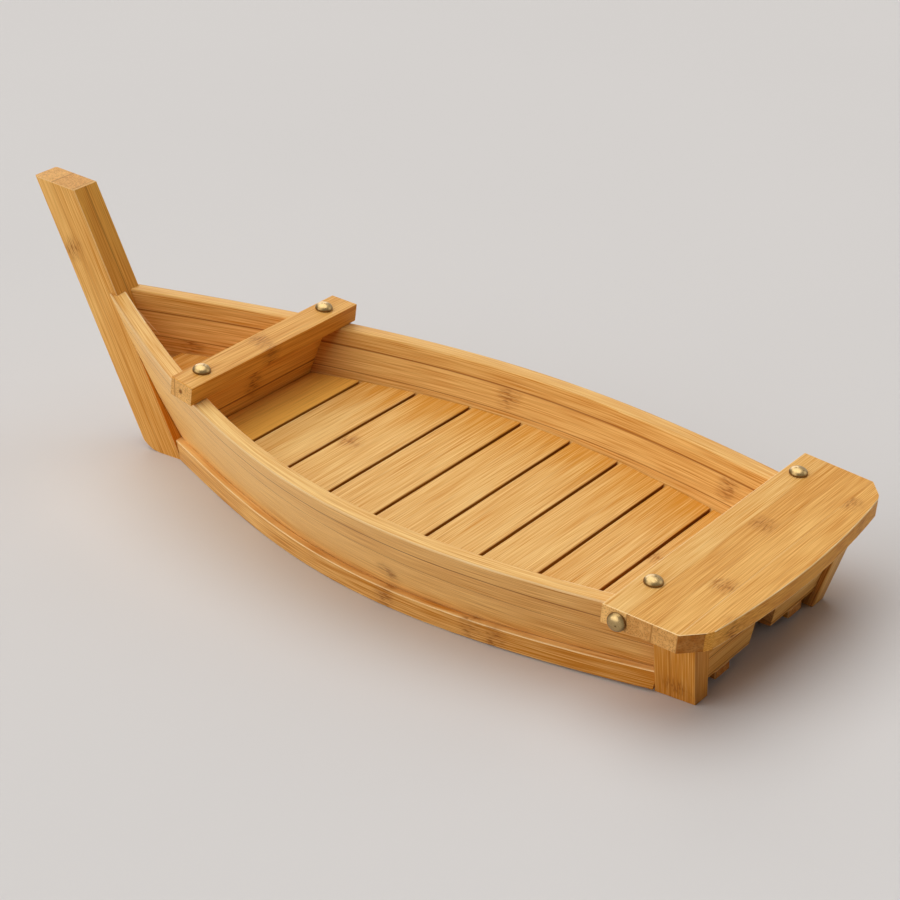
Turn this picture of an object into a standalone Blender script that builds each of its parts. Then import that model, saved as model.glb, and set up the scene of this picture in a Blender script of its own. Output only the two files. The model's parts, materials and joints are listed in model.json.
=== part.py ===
"""Laminated bamboo serving boat: flared sides on a raked stem, a slatted tray floor,
a thwart near the bow and a stern deck on two splayed legs. Metres, +X bow, +Y port, +Z up."""

import math

import bmesh
import bpy
from mathutils import Matrix, Vector

# Gunwale line: the outer top edge of the port side, one cubic curve from stern to bow
SHEER_STERN = Vector((-0.3056, 0.0834, 0.0613))
SHEER_AFT_PULL = Vector((-0.0656, 0.1472, 0.0703))
SHEER_BOW_PULL = Vector((0.0365, 0.1311, 0.0788))
SHEER_BOW = Vector((0.2375, 0.0121, 0.1118))

# Lean of the sides: sideways run for each unit of height, at the stern, amidships and at the bow
LEAN_STERN = 0.426
LEAN_MID = 0.564
LEAN_BOW = 0.357
LEAN_MID_X = -0.0436
LEAN_REACH = 0.250

# Stock: boards are glued up from strips of one width
BOARD = 0.0110
STRIP = 0.0165
GLUE_LINE = 0.0003
FIT = 0.0003
SIDE_PLAY = 0.00045
STEM_PLAY = 0.00036
EDGE_ROUND = 0.0012
STATIONS = 30

# Lower edge of the sides, which rises towards the stern, and the rub rail along it
BOTTOM_Z = 0.0004
BOTTOM_RISE = 0.0030
RAIL_LEDGE = 0.0052
RAIL_HEIGHT = 0.0125

# Stem: two board layers, raked, with a rounded toe and a shoulder that takes the side boards
STEM_TOP = 0.1834
STEM_TOE_X = 0.2128
STEM_RAKE = 0.4918
STEM_DEPTH = 0.0361
STEM_TOP_FALL = 0.0028
STEM_STEP = 0.0032
STEM_STEP_TOP = 0.0950
STEM_STEP_FOOT = 0.0770
STEM_TOE_ROUND = 0.0220
STEM_LAYER = 0.0111

# Slatted floor, in line with the bow floor
FLOOR_Z = 0.0537
FLOOR_SLOPE = 0.0899
SLAT_THICK = 0.0080
SLAT_PITCH = 0.0383
SLAT_GAP = 0.0024
FIRST_GAP_X = 0.0776
BEARER_STERN_Y = 0.0440
BEARER_BOW_Y = 0.0270
BOW_FLOOR_END_X = 0.1930

# Bulkhead under the thwart
BULKHEAD_X = 0.1112

# Thwart
THWART_X = 0.1097
THWART_WIDTH = 0.0196
THWART_THICK = 0.0128
THWART_HALF_FORE = 0.0836
THWART_HALF_AFT = 0.0860

# Stern deck
DECK_FRONT_X = -0.2341
DECK_FRONT_Z = 0.0739
DECK_SLOPE = 0.1000
DECK_THICK = 0.0123
DECK_HALF_FORE = 0.1187
DECK_HALF_AFT = 0.1167
DECK_LENGTH = 0.0695
DECK_CLIP_START = 0.0500
DECK_CLIP_END = 0.0624
DECK_CLIP_HALF = 0.1020

# Transom and legs, raked aft together; each X is where a face would meet the table
STERN_RAKE = 0.2200
LEG_AFT_X = -0.2745
LEG_LENGTH = 0.0280
LEG_FOOT_Y = 0.0776
LEG_LEAN = 0.4550
TRANSOM_INSET = 0.0040
TRANSOM_THICK = 0.0120
TRANSOM_FOOT_Z = 0.0100
TRANSOM_NOTCH = 0.0255
TRANSOM_NOTCH_TOP = 0.0280

# Dome nails
NAIL_HEAD = 0.0120
NAIL_DOME = 0.0040
NAIL_SHANK = 0.0020
NAIL_LENGTH = 0.0100
NAIL_HOLE_PLAY = 0.0002
THWART_NAIL_INSET = 0.0213
THWART_NAIL_AHEAD = 0.0016
DECK_NAIL_SETBACK = 0.0100
END_NAIL_SETBACK = 0.0110
END_NAIL_DROP = 0.0012

# The deck's nails were set by hand, so their distances from its ends differ from side to side
DECK_NAIL_INSET = {"port": 0.0388, "starboard": 0.0263}

BAMBOO = (0.60, 0.36, 0.13)
BAMBOO_PALE = (0.68, 0.43, 0.18)
BRASS = (0.62, 0.49, 0.27)

for old in list(bpy.data.objects):
    bpy.data.objects.remove(old, do_unlink=True)

boat = bpy.data.collections.new("serving_boat")
cutters = bpy.data.collections.new("cutters")
cutters.hide_render = True
for group in (boat, cutters):
    bpy.context.scene.collection.children.link(group)


def make_material(name, colour, roughness, metallic):
    material = bpy.data.materials.new(name)
    material.use_nodes = True
    shader = material.node_tree.nodes["Principled BSDF"]
    shader.inputs["Base Color"].default_value = (*colour, 1.0)
    shader.inputs["Roughness"].default_value = roughness
    shader.inputs["Metallic"].default_value = metallic
    return material


bamboo = make_material("bamboo", BAMBOO, 0.45, 0.0)
bamboo_pale = make_material("bamboo_pale", BAMBOO_PALE, 0.45, 0.0)
brass = make_material("brass", BRASS, 0.28, 1.0)


def add_object(name, mesh, material, group=boat):
    """A mesh as one named piece of the boat, or as a cutter that isn't drawn."""
    piece = bpy.data.objects.new(name, mesh)
    group.objects.link(piece)
    if material:
        mesh.materials.append(material)
    if group == cutters:
        piece.hide_render = True
        piece.display_type = "WIRE"
    return piece


def weld_and_face_out(mesh):
    work = bmesh.new()
    work.from_mesh(mesh)
    bmesh.ops.remove_doubles(work, verts=work.verts, dist=1e-6)
    bmesh.ops.recalc_face_normals(work, faces=work.faces)
    work.to_mesh(mesh)
    work.free()
    return mesh


def add_solid(name, points, faces, material, group=boat):
    mesh = bpy.data.meshes.new(name)
    mesh.from_pydata(points, [], faces)
    return add_object(name, weld_and_face_out(mesh), material, group)


def loft(name, sections, material, side=1, group=boat):
    """A solid through a row of like sections; side -1 gives the mirrored starboard piece."""
    count = len(sections[0])
    points = [(p.x, p.y * side, p.z) for section in sections for p in section]
    faces = [tuple(range(count)), tuple(range(len(points) - count, len(points)))]
    for row in range(len(sections) - 1):
        for k in range(count):
            a = row * count + k
            b = row * count + (k + 1) % count
            faces.append((a, b, b + count, a + count))
    return add_solid(name, points, faces, material, group)


def flat_piece(name, outline, thickness, material, group=boat):
    """A flat outline as a solid whose thickness is centred on its own XY plane."""
    curve = bpy.data.curves.new(name, "CURVE")
    curve.dimensions = "2D"
    curve.fill_mode = "BOTH"
    curve.extrude = thickness / 2
    spline = curve.splines.new("POLY")
    spline.points.add(len(outline) - 1)
    for point, (x, y) in zip(spline.points, outline):
        point.co = (x, y, 0.0, 1.0)
    spline.use_cyclic_u = True
    shape = bpy.data.objects.new(name + "_outline", curve)
    cutters.objects.link(shape)
    graph = bpy.context.evaluated_depsgraph_get()
    mesh = bpy.data.meshes.new_from_object(shape.evaluated_get(graph))
    bpy.data.objects.remove(shape, do_unlink=True)
    return add_object(name, weld_and_face_out(mesh), material, group)


def box(name, low, high, group=cutters):
    corners = [
        (x, y, z) for x in (low[0], high[0]) for y in (low[1], high[1]) for z in (low[2], high[2])
    ]
    faces = [(0, 1, 3, 2), (4, 6, 7, 5), (0, 4, 5, 1), (2, 3, 7, 6), (0, 2, 6, 4), (1, 5, 7, 3)]
    return add_solid(name, corners, faces, None, group)


def cut(piece, *tools):
    for tool in tools:
        modifier = piece.modifiers.new("cut", "BOOLEAN")
        modifier.object = tool
        modifier.operation = "DIFFERENCE"
        modifier.solver = "EXACT"


def round_edges(piece, width, segments=2):
    modifier = piece.modifiers.new("edges", "BEVEL")
    modifier.width = width
    modifier.segments = segments
    modifier.limit_method = "ANGLE"
    modifier.angle_limit = math.radians(35)


def round_corner(before, corner, after, radius, steps):
    """Points of an arc that rounds one corner of a flat outline."""
    back = (before - corner).normalized()
    ahead = (after - corner).normalized()
    half = back.angle(ahead) / 2
    middle = corner + (back + ahead).normalized() * radius / math.sin(half)
    start = (corner + back * radius / math.tan(half) - middle).normalized()
    end = (corner + ahead * radius / math.tan(half) - middle).normalized()
    return [middle + start.slerp(end, k / steps) * radius for k in range(steps + 1)]


# Shape of the hull


def sheer(t):
    u = 1.0 - t
    ends = SHEER_STERN * u**3 + SHEER_BOW * t**3
    return ends + 3 * SHEER_AFT_PULL * t * u * u + 3 * SHEER_BOW_PULL * t * t * u


def outward(t):
    run = sheer(t + 1e-4) - sheer(t - 1e-4)
    return Vector((-run.y, run.x, 0.0)).normalized()


def lean_angle(x):
    s = (x - LEAN_MID_X) / LEAN_REACH
    skew = (LEAN_BOW - LEAN_STERN) / 2
    bend = (LEAN_BOW + LEAN_STERN) / 2 - LEAN_MID
    return math.atan(LEAN_MID + skew * s + bend * s * s)


def side_point(t, z, depth):
    """A point of the port side at a height, so deep in from the outer face."""
    top = sheer(t)
    angle = lean_angle(top.x)
    inset = (top.z - z) * math.tan(angle) + depth / math.cos(angle)
    point = top - outward(t) * inset
    point.z = z
    return point


def station_at(x, z, depth):
    """Where along the sheer the side reaches x, at a height, or at the gunwale when z is None."""
    low, high = 0.0, 1.0
    for _ in range(40):
        middle = (low + high) / 2
        height = sheer(middle).z if z is None else z
        if side_point(middle, height, depth).x < x:
            low = middle
        else:
            high = middle
    return low


def side_y(x, z, depth):
    return side_point(station_at(x, z, depth), z, depth).y


def inside_y(x, z):
    """Half the clear width between the sides, with play at each."""
    return side_y(x, z, BOARD) - SIDE_PLAY


def bottom_z(x):
    return BOTTOM_Z + BOTTOM_RISE * (min(x - LEAN_MID_X, 0.0) / LEAN_REACH) ** 2


def floor_z(x):
    return FLOOR_Z + FLOOR_SLOPE * x


def deck_top(x):
    return DECK_FRONT_Z + DECK_SLOPE * (x - DECK_FRONT_X)


def deck_seat(x):
    return deck_top(x) - DECK_THICK * math.hypot(1.0, DECK_SLOPE) - FIT


def raked(x, z):
    """X at a height of a stern face that meets the table at x."""
    return x - STERN_RAKE * z


def raked_top(x):
    """Height at which a stern face that meets the table at x reaches the deck."""
    return deck_seat(x) / (1.0 + DECK_SLOPE * STERN_RAKE)


# Stem: two layers of board cut to one outline


def stem_outline(grow):
    """Outline in X and Z; grow moves the after edges out to clear the boards that meet them."""
    aft_x = STEM_TOE_X - STEM_DEPTH - grow
    top = Vector((STEM_TOE_X + STEM_RAKE * STEM_TOP, STEM_TOP))
    toe = Vector((STEM_TOE_X, 0.0))
    heel = Vector((aft_x + STEM_STEP, 0.0))
    aft_top = Vector((aft_x + STEM_RAKE * (STEM_TOP - STEM_TOP_FALL), STEM_TOP - STEM_TOP_FALL))
    points = [heel]
    points += round_corner(heel, toe, top, STEM_TOE_ROUND, 6)
    points += [top, aft_top]
    for height, inset in ((STEM_STEP_TOP, 0.0), (STEM_STEP_FOOT, STEM_STEP)):
        points.append(Vector((aft_x + STEM_RAKE * height + inset, height)))
    return points


REACH = SHEER_BOW.x - SHEER_STERN.x
other_half = {
    side: box(
        f"half_{side}",
        (-REACH, min(-side * REACH, side * GLUE_LINE / 2), -REACH),
        (REACH, max(-side * REACH, side * GLUE_LINE / 2), REACH),
    )
    for side in (1, -1)
}

# The glued-up stem is rounded as one piece, so each layer has square edges at the glue line
for name, side in (("stem_port_layer", 1), ("stem_starboard_layer", -1)):
    layer = flat_piece(name, stem_outline(0.0), 2 * STEM_LAYER, bamboo)
    layer.rotation_euler = (math.pi / 2, 0.0, 0.0)
    round_edges(layer, EDGE_ROUND)
    cut(layer, other_half[side])

stem_space = flat_piece("stem_space", stem_outline(STEM_PLAY), 2 * (STEM_LAYER + FIT), None, cutters)
stem_space.rotation_euler = (math.pi / 2, 0.0, 0.0)

# Sides: a gunwale strip, a second strip and a lower board, glued edge to edge and square to the face

transom_aft = LEG_AFT_X + TRANSOM_INSET
transom_front = transom_aft + TRANSOM_THICK
leg_front = LEG_AFT_X + LEG_LENGTH
DECK_SPACE_X = DECK_FRONT_X + DECK_THICK * DECK_SLOPE + FIT
deck_space = loft(
    "deck_space",
    [
        [Vector((x, y, z)) for y, z in ((-REACH, under), (REACH, under), (REACH, over), (-REACH, over))]
        for x, under, over in (
            (-REACH, deck_seat(-REACH), deck_top(-REACH) + REACH),
            (DECK_SPACE_X, deck_seat(DECK_SPACE_X), deck_top(DECK_SPACE_X) + REACH),
        )
    ],
    None,
    1,
    cutters,
)


def seam_z(t, slant, depth):
    """Height of a seam so far down the outer face, at a depth in the board."""
    top = sheer(t)
    angle = lean_angle(top.x)
    return top.z - slant * math.cos(angle) + depth * math.sin(angle)


def soften(section, corner, radius):
    """The section with one corner rounded over in two steps."""
    here = section[corner]
    back = (section[corner - 1] - here).normalized() * radius
    ahead = (section[(corner + 1) % len(section)] - here).normalized() * radius
    arc = [here + back, here + (back + ahead) * 0.293, here + ahead]
    return section[:corner] + arc + section[corner + 1 :]


def side_section(t, upper, lower):
    """Corners of one side strip: outer top, outer foot, inner foot, inner top. None is a sawn edge."""
    top = sheer(t).z
    foot = bottom_z(sheer(t).x)
    high = [top if upper is None else seam_z(t, upper, depth) for depth in (0.0, BOARD)]
    low = [foot if lower is None else seam_z(t, lower, depth) for depth in (0.0, BOARD)]
    section = [
        side_point(t, high[0], 0.0),
        side_point(t, low[0], 0.0),
        side_point(t, low[1], BOARD),
        side_point(t, high[1], BOARD),
    ]
    if upper is None:
        section = soften(section, 3, EDGE_ROUND)
        section = soften(section, 0, EDGE_ROUND)
    return section


def row_of(start, end):
    return [start + (end - start) * k / STATIONS for k in range(STATIONS + 1)]


STRIP_SEAMS = {
    "gunwale_strip": (None, STRIP - GLUE_LINE / 2),
    "side_strip": (STRIP + GLUE_LINE / 2, 2 * STRIP - GLUE_LINE / 2),
    "lower_board": (2 * STRIP + GLUE_LINE / 2, None),
}


def stern_space(name, front, foot=-REACH):
    """A cutter for all that lies abaft a raked stern face, above a height."""
    corners = ((-REACH, -REACH, foot), (front + FIT, REACH, REACH))
    space = box(name, *corners)
    for vertex in space.data.vertices:
        vertex.co.x = raked(vertex.co.x, vertex.co.z)
    return space


transom_space = stern_space("transom_space", transom_front)

for side_name, side in (("port", 1), ("starboard", -1)):
    for strip_name, (upper, lower) in STRIP_SEAMS.items():
        rows = [side_section(t, upper, lower) for t in row_of(0.0, 1.0)]
        tone = bamboo_pale if upper is None else bamboo
        strip = loft(f"{side_name}_{strip_name}", rows, tone, side)
        cut(strip, transom_space, other_half[side], stem_space)
        if upper is None:
            cut(strip, deck_space)

# Legs: wedges on the outside of the sides, square to the boat outside, under the overhang of the deck


def leg_section(foot_x):
    """Corners of a raked leg face: inner foot, outer foot, outer top, inner top."""
    inner, outer = [], []
    for z in (0.0, raked_top(foot_x)):
        x = raked(foot_x, z)
        inner.append(Vector((x, side_y(x, z, 0.0) + SIDE_PLAY, z)))
        outer.append(Vector((x, LEG_FOOT_Y + LEG_LEAN * z, z)))
    return [inner[0], outer[0], outer[1], inner[1]]


for side_name, side in (("port", 1), ("starboard", -1)):
    rows = [leg_section(LEG_AFT_X + LEG_LENGTH * k / 3) for k in range(4)]
    leg = loft(f"{side_name}_stern_leg", rows, bamboo, side)
    round_edges(leg, EDGE_ROUND / 2, 1)


# Rub rails along the foot of the sides


def rail_section(t):
    foot = bottom_z(sheer(t).x)
    top_in = side_point(t, foot + RAIL_HEIGHT, 0.0) + outward(t) * FIT
    foot_in = side_point(t, foot, 0.0) + outward(t) * FIT
    top_out = top_in + outward(t) * RAIL_LEDGE
    foot_out = Vector((top_out.x, top_out.y, foot))
    return soften([foot_in, foot_out, top_out, top_in], 2, EDGE_ROUND / 2)


leg_space = stern_space("leg_space", leg_front)
rail_start = station_at(LEG_AFT_X, 0.0, 0.0)
stem_foot_x = STEM_TOE_X - STEM_DEPTH / 2
rail_end = station_at(stem_foot_x, BOTTOM_Z, 0.0)
for side_name, side in (("port", 1), ("starboard", -1)):
    rows = [rail_section(t) for t in row_of(rail_start, rail_end)]
    rail = loft(f"{side_name}_rub_rail", rows, bamboo, side)
    cut(rail, leg_space, other_half[side], stem_space)

# Bulkhead, square to the floor and under the thwart


def bulkhead_x(z):
    return BULKHEAD_X - (z - floor_z(BULKHEAD_X)) * FLOOR_SLOPE


thwart_aft_x = THWART_X - THWART_WIDTH / 2
thwart_fore_z, thwart_aft_z = (
    sheer(station_at(x, None, BOARD)).z for x in (thwart_aft_x + THWART_WIDTH, thwart_aft_x)
)
thwart_tilt = math.atan2(thwart_fore_z - thwart_aft_z, THWART_WIDTH)


def thwart_seat(x):
    return thwart_aft_z + FIT + (x - thwart_aft_x) * math.tan(thwart_tilt)


slat_under = floor_z(BULKHEAD_X) - SLAT_THICK
bulkhead_foot = slat_under - FIT - STRIP
bulkhead_rows = []
for reach in (0.0, BOARD):
    foot_x = bulkhead_x(bulkhead_foot) + reach
    top_x = bulkhead_x(thwart_aft_z) + reach
    top_z = thwart_seat(top_x) - FIT
    foot_y = inside_y(foot_x, bulkhead_foot) - FIT
    top_y = inside_y(top_x, top_z) - FIT
    bulkhead_rows.append(
        [
            Vector((foot_x, -foot_y, bulkhead_foot)),
            Vector((foot_x, foot_y, bulkhead_foot)),
            Vector((top_x, top_y, top_z)),
            Vector((top_x, -top_y, top_z)),
        ]
    )
loft("bow_bulkhead", bulkhead_rows, bamboo)

# Floor: slats across two bearers, and one board ahead of the bulkhead


def floor_section(x):
    top = floor_z(x)
    under = top - SLAT_THICK
    top_y = inside_y(x, top)
    under_y = inside_y(x, under)
    return [
        Vector((x, -under_y, under)),
        Vector((x, under_y, under)),
        Vector((x, top_y, top)),
        Vector((x, -top_y, top)),
    ]


floor_fore = bulkhead_x(floor_z(BULKHEAD_X)) - 2 * FIT
floor_end = raked(transom_front, floor_z(raked(transom_front, TRANSOM_FOOT_Z)) - SLAT_THICK)
slat_count = 1 + math.ceil((FIRST_GAP_X - floor_end) / SLAT_PITCH)
for k in range(slat_count):
    gap_ahead = FIRST_GAP_X - (k - 1) * SLAT_PITCH
    gap_behind = FIRST_GAP_X - k * SLAT_PITCH
    fore = floor_fore if k == 0 else gap_ahead - SLAT_GAP / 2
    aft = max(gap_behind + SLAT_GAP / 2, floor_end + FIT)
    slat = loft(f"floor_slat_{k + 1}", [floor_section(aft), floor_section(fore)], bamboo_pale)
    round_edges(slat, EDGE_ROUND / 2)

bow_floor_aft = bulkhead_x(floor_z(BULKHEAD_X) - SLAT_THICK) + BOARD + FIT
bow_floor_rows = [
    floor_section(bow_floor_aft + (BOW_FLOOR_END_X - bow_floor_aft) * k / 12) for k in range(13)
]
loft("bow_floor", bow_floor_rows, bamboo)


def bearer_section(x, y):
    top = floor_z(x) - SLAT_THICK - FIT
    return [Vector((x, y + dy, z)) for dy, z in (
        (-STRIP / 2, top - STRIP),
        (STRIP / 2, top - STRIP),
        (STRIP / 2, top),
        (-STRIP / 2, top),
    )]


bearer_fore = bulkhead_x(slat_under) - 2 * FIT
bearer_aft = raked(transom_aft, TRANSOM_FOOT_Z)
bearer_ends = ((bearer_aft, BEARER_STERN_Y), (bearer_fore, BEARER_BOW_Y))
transom_seat = stern_space("transom_seat", transom_front, TRANSOM_FOOT_Z - FIT)
for side_name, side in (("port", 1), ("starboard", -1)):
    rows = [bearer_section(x, y) for x, y in bearer_ends]
    bearer = loft(f"{side_name}_floor_bearer", rows, bamboo, side)
    cut(bearer, transom_seat)

# Transom between the legs, seated on the bearers' ends, with a central notch


def transom_section(foot_x):
    corners = []
    for z in (TRANSOM_FOOT_Z, raked_top(foot_x)):
        x = raked(foot_x, z)
        half = side_y(x, z, 0.0)
        corners.append((Vector((x, -half, z)), Vector((x, half, z))))
    (low_starboard, low_port), (top_starboard, top_port) = corners
    return [low_starboard, low_port, top_port, top_starboard]


transom = loft("transom", [transom_section(transom_aft), transom_section(transom_front)], bamboo)
notch_low = (raked(LEG_AFT_X, 2 * TRANSOM_NOTCH_TOP), -TRANSOM_NOTCH / 2, -TRANSOM_FOOT_Z)
notch_high = (leg_front, TRANSOM_NOTCH / 2, TRANSOM_NOTCH_TOP)
cut(transom, box("centre_notch", notch_low, notch_high))

# Thwart across both gunwales

thwart_outline = [
    (THWART_WIDTH / 2, -THWART_HALF_FORE),
    (THWART_WIDTH / 2, THWART_HALF_FORE),
    (-THWART_WIDTH / 2, THWART_HALF_AFT),
    (-THWART_WIDTH / 2, -THWART_HALF_AFT),
]
thwart = flat_piece("thwart", thwart_outline, THWART_THICK, bamboo_pale)
thwart_up = Vector((-math.sin(thwart_tilt), 0.0, math.cos(thwart_tilt)))
thwart.location = Vector((THWART_X, 0.0, thwart_seat(THWART_X))) + thwart_up * THWART_THICK / 2
thwart.rotation_euler = (0.0, -thwart_tilt, 0.0)
round_edges(thwart, EDGE_ROUND / 2)

# Stern deck: four strips in one sloping plane, clipped corners and a curved after edge

deck = bpy.data.objects.new("stern_deck_plane", None)
boat.objects.link(deck)
deck_tilt = math.atan(DECK_SLOPE)
deck_up = Vector((-math.sin(deck_tilt), 0.0, math.cos(deck_tilt)))
deck.location = Vector((DECK_FRONT_X, 0.0, DECK_FRONT_Z)) - deck_up * DECK_THICK / 2
deck.rotation_euler = (0.0, -deck_tilt, 0.0)


def deck_half(back):
    """Half width of the deck so far back from its front edge."""
    share = min(back / DECK_CLIP_START, 1.0)
    return DECK_HALF_FORE + (DECK_HALF_AFT - DECK_HALF_FORE) * share


def deck_outline():
    sweep = [DECK_CLIP_HALF * (1 - k / 6) for k in range(13)]
    bow_out = DECK_LENGTH - DECK_CLIP_END
    edge = [(-DECK_LENGTH + bow_out * (y / DECK_CLIP_HALF) ** 2, y) for y in sweep]
    port_side = [(0.0, DECK_HALF_FORE), (-DECK_CLIP_START, DECK_HALF_AFT)]
    starboard_side = [(x, -y) for x, y in reversed(port_side)]
    return port_side + edge + starboard_side


# The glued-up deck is rounded as one board, then parted into its strips at the glue lines
deck_names = ("front", "second", "third", "after")
for k, name in enumerate(deck_names):
    tone = bamboo if k else bamboo_pale
    strip = flat_piece(f"stern_deck_{name}_strip", deck_outline(), DECK_THICK, tone)
    strip.parent = deck
    round_edges(strip, EDGE_ROUND / 2)
    ahead = -k * STRIP - GLUE_LINE / 2
    behind = -(k + 1) * STRIP + GLUE_LINE / 2
    parted = []
    if k:
        parted.append(box(f"{name}_ahead", (ahead, -REACH, -REACH), (REACH, REACH, REACH)))
    if k < len(deck_names) - 1:
        parted.append(box(f"{name}_behind", (-REACH, -REACH, -REACH), (behind, REACH, REACH)))
    for space in parted:
        space.parent = deck
        cut(strip, space)

# Dome nails: two in the thwart, two in the deck's front strip, one in each end of that strip


def nail_profile(play, head):
    """Half outline from the tip of the shank; a hole has play all round and no head."""
    shank = NAIL_SHANK / 2 + play
    points = [(0.0, -NAIL_LENGTH - play), (shank, -NAIL_LENGTH - play + shank), (shank, FIT)]
    if not head:
        return points + [(0.0, FIT)]
    dome = [math.pi / 2 * k / 6 for k in range(7)]
    rim = [(NAIL_HEAD / 2 * math.cos(a), FIT + NAIL_DOME * math.sin(a)) for a in dome]
    return points + rim[:-1] + [(0.0, FIT + NAIL_DOME)]


def turned_mesh(name, profile, steps):
    mesh = bpy.data.meshes.new(name)
    mesh.from_pydata([(r, 0.0, z) for r, z in profile], [(k, k + 1) for k in range(len(profile) - 1)], [])
    shape = bpy.data.objects.new(name, mesh)
    cutters.objects.link(shape)
    screw = shape.modifiers.new("turn", "SCREW")
    screw.steps = steps
    screw.render_steps = steps
    screw.use_merge_vertices = True
    screw.merge_threshold = 0.0001
    screw.use_smooth_shade = True
    graph = bpy.context.evaluated_depsgraph_get()
    turned = bpy.data.meshes.new_from_object(shape.evaluated_get(graph))
    bpy.data.objects.remove(shape, do_unlink=True)
    return weld_and_face_out(turned)


def nail_place(base, point, turn=0.0, swing=0.0):
    """Where a nail stands on a tilted piece: the point in its frame, a turn about X, then one about Z."""
    frame = Matrix.LocRotScale(base.location, base.rotation_euler, None)
    stand = Matrix.Rotation(swing, 4, "Z") @ Matrix.Rotation(turn, 4, "X")
    return frame @ Matrix.Translation(point) @ stand


front_strip = bpy.data.objects["stern_deck_front_strip"]
end_half = deck_half(END_NAIL_SETBACK)
end_slant = math.atan2(DECK_HALF_FORE - DECK_HALF_AFT, DECK_CLIP_START)
thwart_half = (THWART_HALF_FORE + THWART_HALF_AFT) / 2
nail = turned_mesh("nail", nail_profile(0.0, True), 20)
nail.materials.append(brass)
hole = turned_mesh("nail_hole", nail_profile(NAIL_HOLE_PLAY, False), 12)
for side_name, side in (("port", 1), ("starboard", -1)):
    thwart_nail_y = side * (thwart_half - THWART_NAIL_INSET)
    thwart_point = (THWART_NAIL_AHEAD, thwart_nail_y, THWART_THICK / 2)
    deck_nail_y = side * (end_half - DECK_NAIL_INSET[side_name])
    deck_point = (-DECK_NAIL_SETBACK, deck_nail_y, DECK_THICK / 2)
    end_point = (-END_NAIL_SETBACK, side * end_half, -END_NAIL_DROP)
    end_place = nail_place(deck, end_point, -side * math.pi / 2, side * end_slant)
    for name, wood, place in (
        ("thwart_nail", thwart, nail_place(thwart, thwart_point)),
        ("deck_nail", front_strip, nail_place(deck, deck_point)),
        ("deck_end_nail", front_strip, end_place),
    ):
        add_object(f"{side_name}_{name}", nail, None).matrix_world = place
        drill = add_object(f"{side_name}_{name}_hole", hole, None, cutters)
        drill.matrix_world = place
        cut(wood, drill)
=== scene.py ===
# %% [markdown]
# # A laminated bamboo serving boat
#
# The boat is a tray: two flared sides bent round a raked stem, a floor of cross slats,
# a thwart near the bow and a deck over the stern, all of sanded and oiled bamboo strip,
# with a few brass dome nails. The solids come ready made. This script gives each one the
# fibre, the end grain, the pale edges (sanding wear and a painted highlight), some painted
# shade and light, and the polish that the eye looks for, then sets the boat on a pale floor
# under soft light.

# %% Load the boat
import json
import math

import bmesh
import bpy
import numpy as np
from mathutils import Matrix, Vector

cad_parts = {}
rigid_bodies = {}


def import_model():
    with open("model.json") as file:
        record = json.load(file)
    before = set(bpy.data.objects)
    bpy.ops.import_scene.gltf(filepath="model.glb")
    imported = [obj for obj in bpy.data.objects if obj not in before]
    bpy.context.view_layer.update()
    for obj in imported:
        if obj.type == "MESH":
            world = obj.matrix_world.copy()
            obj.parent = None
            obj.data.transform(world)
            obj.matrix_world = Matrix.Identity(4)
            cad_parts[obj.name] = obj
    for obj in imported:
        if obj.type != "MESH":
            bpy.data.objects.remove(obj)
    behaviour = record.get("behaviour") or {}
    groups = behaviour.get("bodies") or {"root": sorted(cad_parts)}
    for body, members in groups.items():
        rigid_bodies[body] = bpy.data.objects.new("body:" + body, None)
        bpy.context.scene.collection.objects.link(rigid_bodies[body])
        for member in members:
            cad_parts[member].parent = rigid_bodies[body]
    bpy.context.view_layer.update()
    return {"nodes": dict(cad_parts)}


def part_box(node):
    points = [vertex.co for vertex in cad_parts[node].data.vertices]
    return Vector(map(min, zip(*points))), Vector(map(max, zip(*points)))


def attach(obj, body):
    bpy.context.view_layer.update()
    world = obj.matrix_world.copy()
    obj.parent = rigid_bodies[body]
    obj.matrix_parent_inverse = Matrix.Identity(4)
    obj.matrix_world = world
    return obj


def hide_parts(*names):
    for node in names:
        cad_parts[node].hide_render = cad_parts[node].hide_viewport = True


for startup_object in list(bpy.data.objects):
    bpy.data.objects.remove(startup_object)
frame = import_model()
print("pieces of the boat:", len(frame["nodes"]))

# %% [markdown]
# ## Two small helpers
#
# Colours are written as the hex values that a screen shows, and a shader works in linear
# light, so one function turns one into the other. A shader is a graph of nodes, and a second
# function adds one node with its settings and its links and hands back one of its outputs, so
# that each line below reads as one step of the finish.


# %% Colour and node helpers
def linear(hex_value):
    """An sRGB hex colour as linear red, green, blue and alpha."""
    shown = [int(hex_value[k : k + 2], 16) / 255 for k in (1, 3, 5)]
    return [c / 12.92 if c <= 0.04045 else ((c + 0.055) / 1.055) ** 2.4 for c in shown] + [1.0]


def add(tree, kind, inputs=None, out=0, **settings):
    """Adds one shader node; inputs maps a socket to a value or to the output that feeds it."""
    node = tree.nodes.new("ShaderNode" + kind)
    for name, value in settings.items():
        setattr(node, name, value)
    for socket, value in (inputs or {}).items():
        if isinstance(value, bpy.types.NodeSocket):
            tree.links.new(value, node.inputs[socket])
        else:
            node.inputs[socket].default_value = value
    return node.outputs[out]


MM = 0.001
print("bamboo gold in linear light:", [round(c, 3) for c in linear("#d9a355")])

# %% [markdown]
# ## Which way the fibre runs
#
# Bamboo is all fibre, so a board reads as real only if its lines follow the piece. Each piece
# therefore carries its own coordinates: how far along the fibre a point lies, how far across
# the strip, and how deep. A texture could follow the world's axes instead, but then the lines
# would slide off the bent sides. On a straight piece these coordinates are plain distances
# along three directions. On the sides they follow the curve of the gunwale and the slant of
# the board, so the four points of that curve are repeated here from the boat's own design.

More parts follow.
